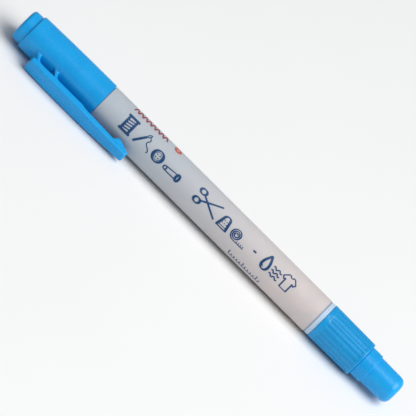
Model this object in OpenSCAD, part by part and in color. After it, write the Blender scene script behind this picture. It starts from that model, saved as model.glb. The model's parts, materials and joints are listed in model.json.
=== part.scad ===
// Twin-tip fabric marking pen: a milky barrel with a broad nib under a clipped
// cap and a fine nib under a small nose cap. It lies on its side with the clip's
// edge on the table. +X runs from the cap end to the nose, +Z is up, and the
// origin is under the middle of the pen's box, on the table. Sizes are millimetres.

/* [Barrel] */
// Outside diameter of the barrel tube
barrel_d = 10.9; // [9.5:0.05:13.5]
// Length of barrel showing between the cap and the ribbed section
barrel_l = 81.4; // [60:0.1:100]
// Wall of the barrel tube
barrel_wall = 1.25; // [1.1:0.05:1.5]
// How much smaller the neck under the cap is, on the radius
neck_step = 0.57; // [0.4:0.01:0.7]
// Length of the neck that the cap slides over
neck_l = 7.8; // [5:0.1:9]
// Depth of the relief between the neck's two sealing rings
neck_relief = 0.25; // [0.1:0.05:0.4]
// Width of each sealing ring on the neck
neck_ring_w = 1.4; // [0.8:0.1:2]
// Width of the thin rim next to the ribbed section
rim_w = 1.35; // [0.8:0.05:2]
// How much smaller that rim is, on the radius
rim_step = 0.08; // [0.04:0.01:0.2]

/* [Main cap] */
// Length of the cap body, without its end plug
cap_body_l = 26.15; // [22:0.05:32]
// How far the cap's rim stands out of the barrel, on the radius
cap_proud = 0.2; // [0.15:0.05:0.8]
// How much thinner the cap is at its closed end, on the radius
cap_taper = 0.35; // [0.1:0.05:0.6]
// Thickness of the cap's end wall
cap_end_wall = 1.8; // [1.2:0.1:2.5]
// Length of the end plug's head
plug_head_l = 3.1; // [2:0.1:5]
// Step from the cap down to the plug's head, on the radius
plug_inset = 0.56; // [0.5:0.01:1.4]
// Rounding of the plug's outer edge
plug_round = 1; // [0.3:0.1:1.2]
// Length of the plug's stem inside the cap
plug_stem_l = 3; // [2:0.1:4]
// How much smaller the plug's stem is than its head, on the radius
plug_stem_inset = 0.85; // [0.5:0.05:1.2]
// Wall of the inner cap that keeps the nib wet
inner_cap_wall = 0.75; // [0.6:0.05:0.9]
// Step in the cap's bore that the inner cap sits in, on the radius
inner_cap_step = 0.45; // [0.3:0.05:0.5]

/* [Clip] */
// Length of the clip
clip_l = 35.4; // [28:0.1:42]
// Where the clip starts, from the cap body's closed end
clip_start = 5.3; // [4:0.1:7]
// Greatest width of the clip
clip_w = 5.1; // [4:0.1:6]
// Width at the root end of the clip
clip_root_w = 4.7; // [3.6:0.1:5.5]
// Width at the tip of the clip
clip_tip_w = 3.3; // [2.4:0.1:4]
// Thickness of the clip
clip_t = 2.15; // [1.8:0.05:2.6]
// Gap between the clip and the cap's rim, for cloth
clip_gap = 1.64; // [1.2:0.01:2.2]
// How much lower the outer face is at the root end
clip_bow = 0.35; // [0:0.05:0.6]
// How far the bump under the tip reaches in
bump_h = 1.15; // [0.6:0.05:1.2]
// Width of the two slanted webs under the clip's root
web_w = 4; // [3:0.1:4.5]
// Thickness of each web, along the pen
web_t = 1.15; // [0.8:0.05:1.6]
// Lean of the webs towards the cap's mouth
web_lean = 1; // [0:0.1:1.5]
// Distance from the first web to the second
web_pitch = 6.4; // [5:0.1:8]

/* [Ribbed section] */
// Length of the ribbed grip section
grip_l = 14.8; // [11:0.1:20]
// How far it stands out of the barrel, on the radius
grip_proud = 0.075; // [0.05:0.025:0.5]
// How much thinner it gets towards the nose, on the radius
grip_taper = 0.15; // [0:0.025:0.25]
// Number of ribs round it
rib_count = 24; // [16:1:30]
// Radius of the round-bottomed grooves between the ribs
groove_r = 0.5; // [0.4:0.02:0.6]
// Depth of those grooves
groove_depth = 0.14; // [0.08:0.02:0.18]
// Smooth band before the ribs start
rib_start = 1.4; // [1.2:0.1:4]
// Smooth band after the ribs end
rib_end = 0.8; // [0.8:0.1:3]
// Length of the spigots that plug the barrel's two ends
spigot_l = 6; // [4:0.1:8]
// Wall of those spigots
spigot_wall = 0.68; // [0.55:0.01:0.8]

/* [Nose cap] */
// Length of the nose cap
nose_l = 12.4; // [10.1:0.1:16]
// Step from the ribbed section down to the nose cap's lip, on the radius
nose_inset = 0.75; // [0.5:0.025:1]
// Length of the lip band
lip_l = 3.3; // [2:0.1:4]
// Step down behind the lip band, on the radius
lip_step = 0.36; // [0.1:0.02:0.4]
// How much thinner the nose is at its end, on the radius
nose_taper = 0.1; // [0:0.05:0.4]
// Rounding of the nose's end
nose_round = 2; // [1:0.1:2.5]
// Wall of the nose cap at its lip
nose_wall = 1.1; // [0.9:0.05:1.3]
// Wall of the soft liner inside the nose cap
nose_liner_wall = 0.68; // [0.5:0.02:0.8]

/* [Nibs and ink] */
// Diameter of the broad nib
main_nib_d = 3; // [2:0.1:4]
// How far the broad nib stands out of its section
main_nib_out = 3.5; // [2:0.1:5]
// Diameter of the fine nib's writing point
fine_nib_d = 1; // [0.6:0.1:1.4]
// How far the fine nib stands out of its sleeve
fine_nib_out = 1.6; // [1:0.1:2.5]
// How far the fine nib's sleeve stands out of the nozzle
sleeve_out = 1.8; // [1:0.1:2.5]
// How deep both nibs reach into the ink reservoir
nib_dip = 3; // [1.5:0.1:5]
// Thickness of the film round the ink reservoir
film_t = 0.15; // [0.1:0.05:0.25]

/* [Fits] */
// Radial clearance where a cap slides on the pen
cap_fit = 0.05; // [0.02:0.01:0.1]
// Radial clearance of pieces that are pushed together for good
push_fit = 0.02; // [0.01:0.01:0.05]
// Gap between a closed cap's rim and the shoulder it closes on
seat_gap = 0.1; // [0.05:0.05:0.3]
// Seam between the ribbed section and the nose cap
nose_gap = 0.2; // [0.1:0.05:0.4]
// Clearance round the clip's flexing line
flex_gap = 0.05; // [0.02:0.01:0.1]
// Furthest that the clip bends outwards, in degrees
clip_flex_max = 6; // [0:1:8]

/* [Hidden] */
$fn = 96;

cap_blue = "#2A9FE6";
milky = "#DCD9DA";
clear_film = "#EEF2F5";
ink_blue = "#1C63B8";
nib_white = "#F2F2EE";
steel = "#C4C8CC";

// Small sizes that no customer would set
arc_steps = 6;
edge_chamfer = 0.3;
sliver = 0.01;

// Stations along the axis, from the outer face of the end plug
cap_x = plug_head_l;
mouth_x = cap_x + cap_body_l;
shoulder_x = mouth_x + seat_gap;
neck_x = shoulder_x - neck_l;
grip_x = shoulder_x + barrel_l;
nozzle_x = grip_x + grip_l;
nose_x = nozzle_x + nose_gap;
pen_l = nose_x + nose_l;

// Radii of the barrel and of what slides over it
barrel_r = barrel_d / 2;
bore_r = barrel_r - barrel_wall;
neck_r = barrel_r - neck_step;
cap_r = barrel_r + cap_proud;
cap_end_r = cap_r - cap_taper;
cap_bore_r = neck_r + cap_fit;
plug_r = cap_end_r - plug_inset;
stem_r = plug_r - plug_stem_inset;
liner_seat_r = cap_bore_r - inner_cap_step;
inner_cap_r = liner_seat_r - push_fit;
inner_cap_bore_r = inner_cap_r - inner_cap_wall;

// The ink's space
spigot_r = bore_r - push_fit;
spigot_bore_r = spigot_r - spigot_wall;
film_r = spigot_bore_r - cap_fit;
reservoir_r = film_r - film_t;
reservoir_x = neck_x + 1;
fine_floor_x = nozzle_x - 2.8;
expansion_gap = 1.5;
reservoir_end_x = fine_floor_x - expansion_gap;

// The broad nib's section, shortened or lengthened to suit the cap
flange_t = 1;
flange_r = neck_r - 0.45;
land_l = 3.5;
land_r = inner_cap_bore_r - cap_fit;
inner_cap_floor = 0.9;
inner_cap_x = cap_x + plug_stem_l;
nib_air = 1;
main_tip_x = inner_cap_x + inner_cap_floor + nib_air;
flange_x = neck_x - flange_t;
land_x = flange_x - land_l;
main_cone_x = main_tip_x + main_nib_out;
main_nib_r = main_nib_d / 2;
main_cone_r = main_nib_r + 0.7;
inner_cap_mouth_x = flange_x - 0.8;
cap_bore_x = inner_cap_mouth_x + 0.2;

// The grip, the fine nozzle and the nose cap
grip_r = barrel_r + grip_proud;
grip_end_r = grip_r - grip_taper;
grip_round = 0.45;
lip_r = grip_end_r - nose_inset;
nose_r = lip_r - lip_step;
nose_end_r = nose_r - nose_taper;
nose_bore_r = lip_r - nose_wall;
fine_land_r = nose_bore_r - cap_fit;
fine_land_l = 3.4;
nose_end_wall = 1.3;
liner_floor = 0.6;
fine_air = 0.8;
nose_bore_end_x = pen_l - nose_end_wall;
fine_tip_x = nose_bore_end_x - liner_floor - fine_air;
sleeve_tip_x = fine_tip_x - fine_nib_out;
nozzle_tip_x = sleeve_tip_x - sleeve_out;
fine_land_x = nozzle_x + fine_land_l;
nose_liner_x = fine_land_x + 0.5;
fine_nib_r = fine_nib_d / 2;
fine_shank_r = fine_nib_r + 0.3;
sleeve_r = fine_shank_r + 0.6;
sleeve_tip_r = fine_nib_r + 0.35;
nozzle_r = sleeve_r + 0.9;
nozzle_tip_r = sleeve_r + 0.35;

// The clip, measured out from the pen's axis
clip_in_r = cap_r + clip_gap;
clip_out_r = clip_in_r + clip_t;
clip_x = cap_x + clip_start;
clip_tip_x = clip_x + clip_l;
web_x = clip_x + 0.15;
flex_x = web_x + web_pitch + web_lean + web_t + 1.4;
flex_r = clip_in_r + clip_t / 2;
knuckle_r = clip_t / 2 - 0.25;
flex_slot = clip_t / 2 * sin(clip_flex_max) + flex_gap;
bump_x = clip_tip_x - 4.2;
thin_x = clip_x + 0.515 * clip_l;
inner_step = 0.3;

// The pen rolls until the clip's outer edge touches the table
clip_turn = asin(cap_r / norm([clip_out_r, clip_w / 2])) - atan2(clip_w / 2, clip_out_r);
reach_y = clip_out_r * cos(clip_turn) + clip_w / 2 * sin(clip_turn);
axis_y = (reach_y - cap_r) / 2;

// Outside radius of the cap at a station, a shallow curve that fills out to the mouth
function cap_r_at(x) =
    let (s = (x - cap_x) / cap_body_l) cap_end_r + cap_taper * (1 - (1 - s) * (1 - s));

// Points of a quarter round between two edges, for a [radius, station] outline
function round_edge(r, x, size, from) =
    [for (i = [0:arc_steps]) let (a = from + 90 * i / arc_steps)
        [r + size * cos(a), x + size * sin(a)]];

// Puts a shape that is built along +X from the plug's face onto the pen's axis
module on_axis() {
    translate([-pen_l / 2, axis_y, cap_r]) children();
}

// A solid of revolution from an outline of [radius, station] points
module turned(outline) {
    on_axis() rotate([0, 90, 0]) rotate_extrude() polygon(outline);
}

// A plain round rod or hole along the axis
module rod(r, from_x, to_x) {
    turned([[0, from_x], [r, from_x], [r, to_x], [0, to_x]]);
}

module barrel() {
    ring_r = neck_r - neck_relief;
    color(milky) turned([
        [bore_r, neck_x], [neck_r - 0.2, neck_x], [neck_r, neck_x + 0.2],
        [neck_r, neck_x + neck_ring_w], [ring_r, neck_x + neck_ring_w],
        [ring_r, shoulder_x - neck_ring_w], [neck_r, shoulder_x - neck_ring_w],
        [neck_r, shoulder_x], [barrel_r - 0.12, shoulder_x],
        [barrel_r, shoulder_x + 0.12], [barrel_r, grip_x - rim_w - 0.2],
        [barrel_r - 0.15, grip_x - rim_w - 0.2], [barrel_r - 0.15, grip_x - rim_w],
        [barrel_r - rim_step, grip_x - rim_w], [barrel_r - rim_step, grip_x],
        [bore_r, grip_x]
    ]);
}

module main_section() {
    color(cap_blue) difference() {
        turned([
            [0, main_cone_x], [main_cone_r, main_cone_x], [land_r - 0.5, land_x],
            [land_r, land_x + 0.5], [land_r, flange_x], [flange_r, flange_x],
            [flange_r, neck_x], [spigot_r, neck_x],
            [spigot_r, neck_x + spigot_l - edge_chamfer],
            [spigot_r - edge_chamfer, neck_x + spigot_l],
            [spigot_bore_r, neck_x + spigot_l], [spigot_bore_r, reservoir_x],
            [0, reservoir_x]
        ]);
        rod(main_nib_r + push_fit, main_cone_x - 1, reservoir_x + 1);
    }
}

module main_nib() {
    tip_r = main_nib_r * 0.8;
    color(nib_white) turned(concat(
        [[0, reservoir_x + nib_dip], [0, main_tip_x]],
        [for (i = [1:arc_steps]) let (a = 90 * i / arc_steps)
            [main_nib_r * sin(a), main_tip_x + tip_r * (1 - cos(a))]],
        [[main_nib_r, reservoir_x + nib_dip]]
    ));
}

module ink_reservoir() {
    color(ink_blue) difference() {
        rod(reservoir_r, reservoir_x, reservoir_end_x);
        rod(main_nib_r + push_fit, reservoir_x - 1, reservoir_x + nib_dip);
        rod(fine_shank_r + push_fit, reservoir_end_x - nib_dip, reservoir_end_x + 1);
    }
}

module reservoir_film() {
    color(clear_film) turned([
        [reservoir_r, reservoir_x], [film_r, reservoir_x],
        [film_r, reservoir_end_x], [reservoir_r, reservoir_end_x]
    ]);
}

// One shallow round-bottomed groove with sloping ends, laid along the grip and following its taper
module rib_groove() {
    from_x = grip_x + rib_start;
    run = grip_l - rib_start - rib_end;
    lean = atan2(grip_taper, grip_l);
    from_r = grip_r - grip_taper * rib_start / grip_l;
    slope = 2 * groove_depth;
    translate([from_x, 0, from_r + groove_r - groove_depth]) rotate([0, 90 + lean, 0])
        rotate_extrude($fn = 24) polygon([
            [0, 0], [groove_r - slope, 0], [groove_r, slope],
            [groove_r, run - slope], [groove_r - slope, run], [0, run]
        ]);
}

module fine_section() {
    color(cap_blue) difference() {
        turned(concat(
            [[spigot_bore_r, grip_x - spigot_l],
             [spigot_r - edge_chamfer, grip_x - spigot_l],
             [spigot_r, grip_x - spigot_l + edge_chamfer], [spigot_r, grip_x],
             [grip_r - 0.15, grip_x], [grip_r, grip_x + 0.15]],
            round_edge(grip_end_r - grip_round, nozzle_x - grip_round, grip_round, 0),
            [[fine_land_r, nozzle_x], [fine_land_r, fine_land_x - edge_chamfer],
             [fine_land_r - edge_chamfer, fine_land_x], [nozzle_r, fine_land_x],
             [nozzle_tip_r, nozzle_tip_x], [0, nozzle_tip_x],
             [0, fine_floor_x], [spigot_bore_r, fine_floor_x]]
        ));
        rod(sleeve_r + push_fit, fine_floor_x - 1, nozzle_tip_x + 1);
        on_axis() for (i = [0:rib_count - 1]) rotate([i * 360 / rib_count, 0, 0]) rib_groove();
    }
}

module fine_nib_sleeve() {
    color(steel) difference() {
        turned([
            [0, fine_floor_x], [sleeve_r, fine_floor_x], [sleeve_r, nozzle_tip_x],
            [sleeve_tip_r, sleeve_tip_x], [0, sleeve_tip_x]
        ]);
        rod(fine_shank_r + push_fit, fine_floor_x - 1, nozzle_tip_x);
        rod(fine_nib_r + push_fit, nozzle_tip_x - sliver, sleeve_tip_x + 1);
    }
}

module fine_nib() {
    color(nib_white) turned(concat(
        [[0, reservoir_end_x - nib_dip], [fine_shank_r, reservoir_end_x - nib_dip],
         [fine_shank_r, nozzle_tip_x - sliver], [fine_nib_r, nozzle_tip_x - sliver]],
        round_edge(0, fine_tip_x - fine_nib_r, fine_nib_r, 0)
    ));
}

// The cap's outside, from its closed end to its mouth
function cap_outline() = concat(
    [[cap_end_r - edge_chamfer, cap_x]],
    [for (i = [0:8]) let (x = cap_x + edge_chamfer + (cap_body_l - edge_chamfer) * i / 8)
        [cap_r_at(x), x]]
);

module cap_shell() {
    color(cap_blue) turned(concat(
        [[stem_r + push_fit, cap_x]], cap_outline(),
        [[cap_bore_r, mouth_x], [cap_bore_r, cap_bore_x], [liner_seat_r, cap_bore_x],
         [liner_seat_r, cap_x + cap_end_wall], [stem_r + push_fit, cap_x + cap_end_wall]]
    ));
}

module cap_end_plug() {
    color(cap_blue) turned(concat(
        [[0, inner_cap_x], [0, 0]],
        [for (p = round_edge(plug_r - plug_round, plug_round, plug_round, -90)) p],
        [[plug_r, cap_x], [stem_r, cap_x], [stem_r, inner_cap_x - edge_chamfer],
         [stem_r - edge_chamfer, inner_cap_x]]
    ));
}

module inner_cap() {
    color(milky) turned([
        [0, inner_cap_x], [inner_cap_r - edge_chamfer, inner_cap_x],
        [inner_cap_r, inner_cap_x + edge_chamfer], [inner_cap_r, inner_cap_mouth_x],
        [inner_cap_bore_r, inner_cap_mouth_x],
        [inner_cap_bore_r, inner_cap_x + inner_cap_floor], [0, inner_cap_x + inner_cap_floor]
    ]);
}

// Places what is drawn with -Y outwards from the pen's axis at the clip's turn
module at_clip() {
    on_axis() rotate([clip_turn, 0, 0]) children();
}

// The whole clip: its side outline crossed with its outline from above
module clip_blank() {
    mid_x = clip_x + clip_l / 2;
    intersection() {
        translate([0, 0, -clip_w]) linear_extrude(2 * clip_w) polygon([
            [clip_x, -clip_in_r], [clip_x, 0.6 + clip_bow - clip_out_r],
            [clip_x + 0.6, clip_bow - clip_out_r], [clip_x + 5, clip_bow / 3 - clip_out_r],
            [clip_x + 11, -clip_out_r], [mid_x + 4, -clip_out_r],
            [clip_tip_x - 0.6, clip_bow / 2 - clip_out_r],
            [clip_tip_x, 0.6 + clip_bow / 2 - clip_out_r],
            [clip_tip_x, -clip_in_r - inner_step], [bump_x + 0.3, bump_h - clip_in_r],
            [bump_x - 0.4, bump_h - clip_in_r], [bump_x - 1.2, -clip_in_r - inner_step],
            [thin_x + 0.8, -clip_in_r - inner_step], [thin_x, -clip_in_r]
        ]);
        rotate([90, 0, 0]) linear_extrude(2 * clip_out_r) polygon([
            [clip_x, -clip_root_w / 2 + 0.5], [clip_x + 0.5, -clip_root_w / 2],
            [clip_x + 8, -clip_w / 2], [thin_x, -clip_w / 2],
            [clip_tip_x - 0.5, -clip_tip_w / 2], [clip_tip_x, -clip_tip_w / 2 + 0.5],
            [clip_tip_x, clip_tip_w / 2 - 0.5], [clip_tip_x - 0.5, clip_tip_w / 2],
            [thin_x, clip_w / 2], [clip_x + 8, clip_w / 2],
            [clip_x + 0.5, clip_root_w / 2], [clip_x, clip_root_w / 2 - 0.5]
        ]);
    }
}

// One slanted web, up to the clip's inner face
module web(x) {
    foot_r = cap_end_r - 1;
    translate([0, 0, -web_w / 2]) linear_extrude(web_w) polygon([
        [x, -foot_r], [x + web_t, -foot_r],
        [x + web_t + web_lean, -clip_in_r], [x + web_lean, -clip_in_r]
    ]);
}

module clip_root() {
    color(cap_blue) difference() {
        at_clip() {
            difference() {
                clip_blank();
                translate([flex_x, -2 * clip_out_r, -clip_w])
                    cube([clip_l, 2 * clip_out_r, 2 * clip_w]);
                translate([flex_x, -flex_r, -clip_w])
                    cylinder(h = 2 * clip_w, r = knuckle_r + flex_gap, $fn = 48);
            }
            web(web_x);
            web(web_x + web_pitch);
        }
        turned(concat([[0, cap_x]], cap_outline(), [[0, mouth_x]]));
    }
}

module clip_arm() {
    knuckle_w = clip_w - 0.4;
    color(cap_blue) at_clip() {
        difference() {
            clip_blank();
            translate([flex_x + flex_slot - clip_l, -2 * clip_out_r, -clip_w])
                cube([clip_l, 2 * clip_out_r, 2 * clip_w]);
        }
        translate([flex_x, -flex_r, -knuckle_w / 2])
            cylinder(h = knuckle_w, r = knuckle_r, $fn = 48);
    }
}

module fine_cap_shell() {
    color(cap_blue) turned(concat(
        [[nose_bore_r, nose_x], [lip_r - 0.15, nose_x], [lip_r, nose_x + 0.15],
         [lip_r, nose_x + lip_l - 0.1], [nose_r, nose_x + lip_l]],
        round_edge(nose_end_r - nose_round, pen_l - nose_round, nose_round, 0),
        [[0, pen_l], [0, nose_bore_end_x], [nose_bore_r - 0.2, nose_bore_end_x],
         [nose_bore_r, nose_bore_end_x - 0.2]]
    ));
}

module fine_cap_liner() {
    liner_r = nose_bore_r - push_fit;
    color(milky) turned([
        [liner_r - nose_liner_wall, nose_liner_x], [liner_r, nose_liner_x],
        [liner_r, nose_bore_end_x - 0.3], [liner_r - 0.3, nose_bore_end_x],
        [0, nose_bore_end_x], [0, nose_bore_end_x - liner_floor],
        [liner_r - nose_liner_wall, nose_bore_end_x - liner_floor]
    ]);
}

barrel();
main_section();
main_nib();
ink_reservoir();
reservoir_film();
fine_section();
fine_nib_sleeve();
fine_nib();
cap_shell();
cap_end_plug();
inner_cap();
clip_root();
clip_arm();
fine_cap_shell();
fine_cap_liner();
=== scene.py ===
# %% [markdown]
# # A twin-tip fabric marking pen
#
# This lesson dresses a CAD model of a marking pen for cloth. The CAD model already holds every
# size, fit and joint, so nothing here moves it. What Blender adds is the finish: moulded blue
# polypropylene with soft edges, a milky barrel with printed sewing marks, and fibre nibs.
#
# The pen lies on its side along X, with its clip end at the low end of X.

# %% Load the CAD frame
import json
import math

import bpy
import numpy as np
from mathutils import Matrix, Vector


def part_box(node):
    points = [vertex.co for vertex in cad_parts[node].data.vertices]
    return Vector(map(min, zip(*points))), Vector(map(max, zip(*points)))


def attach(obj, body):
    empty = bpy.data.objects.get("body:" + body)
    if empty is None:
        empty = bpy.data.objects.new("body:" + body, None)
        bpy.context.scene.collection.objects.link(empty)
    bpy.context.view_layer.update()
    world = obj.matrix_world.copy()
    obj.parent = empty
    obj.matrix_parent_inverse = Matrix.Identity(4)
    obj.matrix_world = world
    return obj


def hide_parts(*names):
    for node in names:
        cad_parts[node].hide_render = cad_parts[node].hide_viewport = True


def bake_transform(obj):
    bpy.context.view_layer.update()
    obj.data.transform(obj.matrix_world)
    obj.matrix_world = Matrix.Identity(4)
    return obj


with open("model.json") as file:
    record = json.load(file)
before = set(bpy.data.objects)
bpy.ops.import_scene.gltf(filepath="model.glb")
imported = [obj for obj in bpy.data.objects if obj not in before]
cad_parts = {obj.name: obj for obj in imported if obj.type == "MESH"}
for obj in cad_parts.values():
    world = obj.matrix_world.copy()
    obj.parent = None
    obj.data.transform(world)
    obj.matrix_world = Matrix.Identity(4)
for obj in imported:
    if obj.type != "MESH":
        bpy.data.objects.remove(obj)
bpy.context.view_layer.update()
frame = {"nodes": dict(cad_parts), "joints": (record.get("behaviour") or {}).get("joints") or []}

# %% [markdown]
# ## Where everything is
#
# The pen is a row of round pieces on one axis. The boxes of the CAD nodes give the stations
# along that axis and the radii, so a change in the CAD model moves the finished pieces too.
# Shapes below are worked out in millimetres and turned into metres in one place.

# %% Stations and radii, in millimetres, from the frame
MM = 0.001
TOUCH = 0.02  # corner rings closer than this count as one

axis_low, axis_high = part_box("barrel")
AXIS_Y = (axis_low.y + axis_high.y) / 2 / MM
AXIS_Z = (axis_low.z + axis_high.z) / 2 / MM


def mesh_points(piece):
    """The points of a piece's mesh as an array of x, y, z in millimetres."""
    flat = np.empty(len(piece.data.vertices) * 3)
    piece.data.vertices.foreach_get("co", flat)
    return flat.reshape(-1, 3) / MM


def rings(node):
    """The (station, radius) of every corner of a turned CAD node."""
    x, y, z = mesh_points(frame["nodes"][node]).T
    return np.stack([x, np.hypot(y - AXIS_Y, z - AXIS_Z)], -1)


def stations(node):
    """The different stations at which a turned CAD node has corners, in order."""
    ordered = np.sort(rings(node)[:, 0])
    return ordered[np.diff(ordered, prepend=-1e9) > TOUCH]


def inner(node, station):
    """Smallest radius of the node's corners at a station."""
    ring = rings(node)
    return ring[np.abs(ring[:, 0] - station) < TOUCH, 1].min()


def outer(node, station):
    """Largest radius of the node's corners at a station."""
    ring = rings(node)
    return ring[np.abs(ring[:, 0] - station) < TOUCH, 1].max()


barrel_stations = stations("barrel")
neck_x, neck_full_x, ring_end_x, ring_start_x, shoulder_x = barrel_stations[:5]
line_x, rim_x, grip_x = barrel_stations[-3:]
print("barrel stations:", np.round(barrel_stations, 2))

# %% [markdown]
# ## Two ways of making a surface
#
# Nearly every piece of a pen comes off a lathe or out of a round mould. Such a surface is an
# outline of (station, radius) points carried round the axis. The corners of a moulded piece are
# never sharp, so each outline corner carries its own rounding, and a function turns the corner
# into an arc. The clip isn't round: it is a soft-cornered section carried along the pen.

# %% Outline helpers
ARC_STEPS = 6


def arc_corner(before, corner, after, size):
    """The points of an arc that rounds a corner: it touches both sides at the same distance,
    size / tan(half the angle), and its centre lies on the line that halves the angle."""
    a = before - corner
    b = after - corner
    long_a, long_b = np.linalg.norm(a), np.linalg.norm(b)
    a, b = a / long_a, b / long_b
    half = math.acos(float(np.clip(a @ b, -1, 1))) / 2
    if size <= 0 or half > math.radians(89):
        return corner[None, :]
    reach = min(size / math.tan(half), 0.48 * long_a, 0.48 * long_b)
    size = reach * math.tan(half)
    centre = corner + (a + b) / np.linalg.norm(a + b) * size / math.sin(half)
    start, end = corner + a * reach - centre, corner + b * reach - centre
    sweep = math.pi - 2 * half
    t = np.linspace(0, 1, ARC_STEPS + 1)[:, None]
    return centre + (np.sin((1 - t) * sweep) * start + np.sin(t * sweep) * end) / math.sin(sweep)


def outline(corners, step=0.8, hold=0.05):
    """A smooth outline from (station, radius, rounding) corners. It is a closed loop, unless it
    starts and ends on the axis. A straight stretch gets a point every step at least, and one at
    the distance hold from each end, which keeps the shading of a rounded corner off the flat."""
    rows = np.array(corners, float)
    points = rows[:, :2]
    open_ends = points[0, 1] == 0 and points[-1, 1] == 0
    made = []
    for i, size in enumerate(rows[:, 2]):
        at_end = open_ends and i in (0, len(rows) - 1)
        before, after = points[i - 1], points[(i + 1) % len(points)]
        made.append(points[i][None, :] if at_end else arc_corner(before, points[i], after, size))
    path = np.concatenate(made)
    ring = path if open_ends else np.concatenate([path, path[:1]])
    dense = [ring[:1]]
    for a, b in zip(ring[:-1], ring[1:]):
        length = np.linalg.norm(b - a)
        share = np.linspace(0, 1, max(1, math.ceil(length / step)) + 1)[1:]
        if length > 4 * hold:
            share = np.unique(np.concatenate([share, [hold / length, 1 - hold / length]]))
        dense.append(a + (b - a) * share[:, None])
    dense = np.concatenate(dense)
    return dense if open_ends else dense[:-1]


print("a square corner becomes", len(arc_corner(*np.array([[0, 1], [0, 0], [1, 0.0]]), 0.3)), "points")

# %% Mesh helpers


def signed_volume(points, faces):
    """Volume inside a closed mesh: the sum over its triangles of a . (b x c) / 6."""
    total = 0.0
    for last in range(2, faces.shape[1]):
        a, b, c = (points[faces[:, i]] for i in (0, last - 1, last))
        total += np.einsum("ij,ij->i", a, np.cross(b, c)).sum()
    return total / 6


def solid(name, parts):
    """One smooth-shaded object from a list of (points in millimetres, quads, triangles), each of
    them a closed surface. A part that is inside out is turned, so every face points outwards."""
    points, faces, offset = [], [], 0
    for where, quads, triangles in parts:
        inside_out = signed_volume(where, quads) + signed_volume(where, triangles) < 0
        for group in (quads, triangles):
            group = group[:, ::-1] if inside_out else group
            faces += (group + offset).tolist()
        points.append(where)
        offset += len(where)
    mesh = bpy.data.meshes.new(name)
    mesh.from_pydata((np.concatenate(points) * MM).tolist(), [], faces)
    mesh.polygons.foreach_set("use_smooth", np.ones(len(faces), bool))
    mesh.validate()
    made = bpy.data.objects.new(name, mesh)
    bpy.context.scene.collection.objects.link(made)
    print(name, len(mesh.vertices), "vertices", len(faces), "faces")
    return made


def grid_faces(rows, columns, close_rows):
    """Quads of a grid of points whose columns close on themselves. Rows close too if asked."""
    i = np.arange(rows if close_rows else rows - 1)[:, None]
    j = np.arange(columns)[None, :]
    up, right = (i + 1) % rows, (j + 1) % columns
    corners = (i * columns + j, i * columns + right, up * columns + right, up * columns + j)
    return np.stack(corners, -1).reshape(-1, 4)


def capped(grid, pole_low, pole_high):
    """A closed surface from a grid of rings of points, shape (rows, columns, 3), with a pole
    point at each end that a fan of triangles joins to the first and the last ring."""
    rows, columns = grid.shape[:2]
    points = np.concatenate([grid.reshape(-1, 3), [pole_low, pole_high]])
    j = np.arange(columns)
    right = (j + 1) % columns
    low = np.stack([np.full(columns, rows * columns), right, j], -1)
    last = (rows - 1) * columns
    high = np.stack([np.full(columns, rows * columns + 1), last + j, last + right], -1)
    return points, grid_faces(rows, columns, False), np.concatenate([low, high])


NO_TRIANGLES = np.zeros((0, 3), int)


def revolve(profile, around, dip):
    """Carries an outline round the pen's axis: a point at station x and radius r goes to
    (x, r cos a, r sin a) for each angle a. dip(x, r, a) is taken off the radius, if given."""
    angle = np.arange(around) * 2 * math.pi / around
    on_axis = profile[0, 1] == 0 and profile[-1, 1] == 0
    body = profile[1:-1] if on_axis else profile
    x, r = (np.repeat(body[:, i : i + 1], around, 1) for i in (0, 1))
    a = np.repeat(angle[None, :], len(body), 0)
    if dip is not None:
        r = r - dip(x, r, a)
    grid = np.stack([x, AXIS_Y + r * np.cos(a), AXIS_Z + r * np.sin(a)], -1)
    if on_axis:
        ends = [(p[0], AXIS_Y, AXIS_Z) for p in (profile[0], profile[-1])]
        return capped(grid, *ends)
    return grid.reshape(-1, 3), grid_faces(len(body), around, True), NO_TRIANGLES


print("helpers ready")

# %% [markdown]
# ## Camera, floor and light
#
# The pen lies at 45 degrees across the frame with its cap at the upper left. The camera looks
# down on the table at 30 degrees, from the side that the clip is on, and is itself rolled by 45
# degrees. A long lens keeps both ends of the pen the same size.

# %% Camera
LENS = 600
SENSOR = 36
FRAME_WIDTH = 109.35
ELEVATION = math.radians(29.7)
ROLL = math.radians(44.9)
OFF_ALONG, OFF_UP = -0.33, -0.21
toward = Vector((0, -math.cos(ELEVATION), math.sin(ELEVATION)))
level = Vector((1, 0, 0))
upright = Vector((0, math.sin(ELEVATION), math.cos(ELEVATION)))
right = level * math.cos(ROLL) + upright * math.sin(ROLL)
up = upright * math.cos(ROLL) - level * math.sin(ROLL)
distance = FRAME_WIDTH * MM / SENSOR * LENS
target = Vector((0, AXIS_Y * MM, AXIS_Z * MM)) + (level * OFF_ALONG + upright * OFF_UP) * MM
camera_data = bpy.data.cameras.new("camera")
camera_data.lens = LENS
camera_data.sensor_width = SENSOR
camera = bpy.data.objects.new("camera", camera_data)
view_axes = Matrix((right, up, toward)).transposed().to_4x4()
camera.matrix_world = Matrix.Translation(target + toward * distance) @ view_axes
bpy.context.scene.collection.objects.link(camera)
bpy.context.scene.camera = camera
bpy.context.scene.view_settings.view_transform = "Standard"
print("camera stands", round(distance, 3), "m away")

# %% [markdown]
# ## Materials
#
# One function turns the hex colours that a designer uses into the linear ones that the shader
# needs, and one adds a node with its settings and links. Three more stand for what plastics,
# inks and fibres do: a colour wanders in patches, it changes along the pen, and a fine grain
# roughens the surface. Every pattern works on object coordinates, which are the pen's own
# coordinates in metres, so the scale of a noise is one over the size of its features.

# %% Material helpers
NOISE_MIDDLE = {"From Min": 0.3, "From Max": 0.7}  # noise seldom leaves this range
NOISE_WHOLE = {"From Min": 0.0, "From Max": 1.0}


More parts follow.
